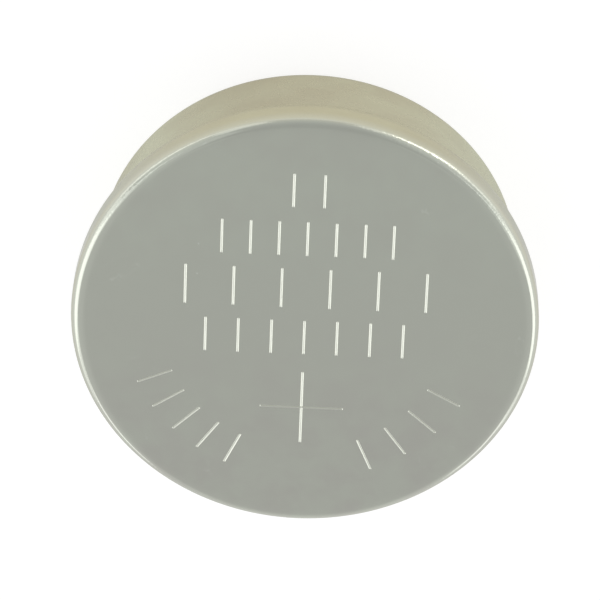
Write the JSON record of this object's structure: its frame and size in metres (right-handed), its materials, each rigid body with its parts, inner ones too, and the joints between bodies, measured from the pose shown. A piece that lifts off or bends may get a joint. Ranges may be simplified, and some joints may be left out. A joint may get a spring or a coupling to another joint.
{
  "type": "lithium coin cell",
  "caption": "Stepped lithium coin cell: a wide shallow positive can with a plus sign on its face, crimped over a deeper, narrower negative cap.",
  "frame": {"origin": "centre of the negative face, on the cell's axis, on the surface that the cell stands on", "axes": "+Z along the axis, out of the positive face; +Y towards the top of the markings on that face; +X to their right"},
  "size_m": [0.0244, 0.0244, 0.0077],
  "materials": {
    "can_nickel": "satin nickel plate",
    "cap_nickel": "drawn nickel plate, warm tone",
    "gasket_plastic": "moulded polypropylene",
    "ring_steel": "bare stainless sheet",
    "cathode_mass": "pressed powder, matt",
    "separator_felt": "thin nonwoven",
    "lithium_metal": "rolled soft metal, dull"
  },
  "bodies": {
    "root": {"positive_can": "can_nickel", "negative_cap": "cap_nickel", "sealing_gasket": "gasket_plastic", "cathode_ring": "ring_steel", "cathode_pellet": "cathode_mass", "separator_cup": "separator_felt", "lithium_anode": "lithium_metal"}
  },
  "joints": []
}
